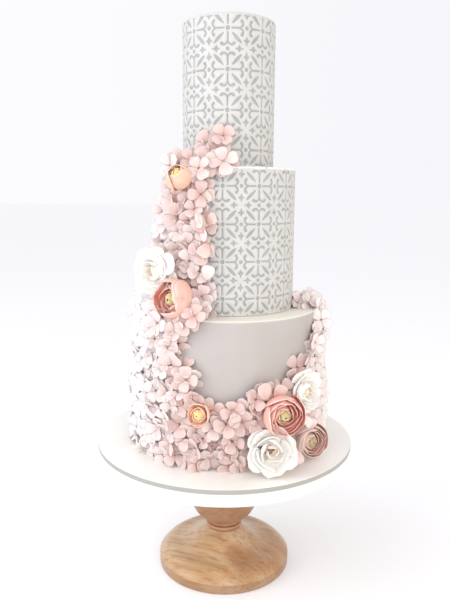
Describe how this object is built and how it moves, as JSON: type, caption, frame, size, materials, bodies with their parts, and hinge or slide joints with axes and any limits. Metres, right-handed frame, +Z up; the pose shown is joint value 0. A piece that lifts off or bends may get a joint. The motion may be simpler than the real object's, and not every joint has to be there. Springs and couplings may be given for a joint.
{
  "type": "wedding cake",
  "caption": "Tall tiered wedding cake with stencilled and plain icing, sugar flowers down one side, on a turned wooden stand with a white plate.",
  "frame": {"origin": "centre of the stand's foot, on the surface it stands on", "axes": "+Z up along the stand's axis; the front of the cake looks along -Y; +X to the viewer's right"},
  "size_m": [0.305, 0.305, 0.6391],
  "materials": {
    "wood": "oiled, satin, turned grain",
    "marble": "polished, faint veins",
    "board": "matt white covering",
    "fondant": "smooth matt sugar paste",
    "stencilled_icing": "white royal icing lattice over pale grey sugar paste",
    "sugar_peach": "matt sugar paste petals",
    "sugar_dusky": "matt sugar paste petals",
    "sugar_white": "matt sugar paste petals",
    "sugar_hydrangea": "matt sugar paste petals, dusted pink"
  },
  "bodies": {
    "root": {"pedestal": "wood", "stand_plate": "marble", "cake_board": "board", "tier_bottom": "fondant", "tier_middle": "stencilled_icing", "tier_top": "stencilled_icing", "ranunculus_bud": "sugar_peach", "white_flower_left": "sugar_white", "ranunculus_left": "sugar_peach", "ranunculus_small": "sugar_peach", "ranunculus_large": "sugar_peach", "white_rose_front": "sugar_white", "white_flower_right": "sugar_white", "ranunculus_dusky": "sugar_dusky", "hydrangea_garland": "sugar_hydrangea"}
  },
  "joints": []
}
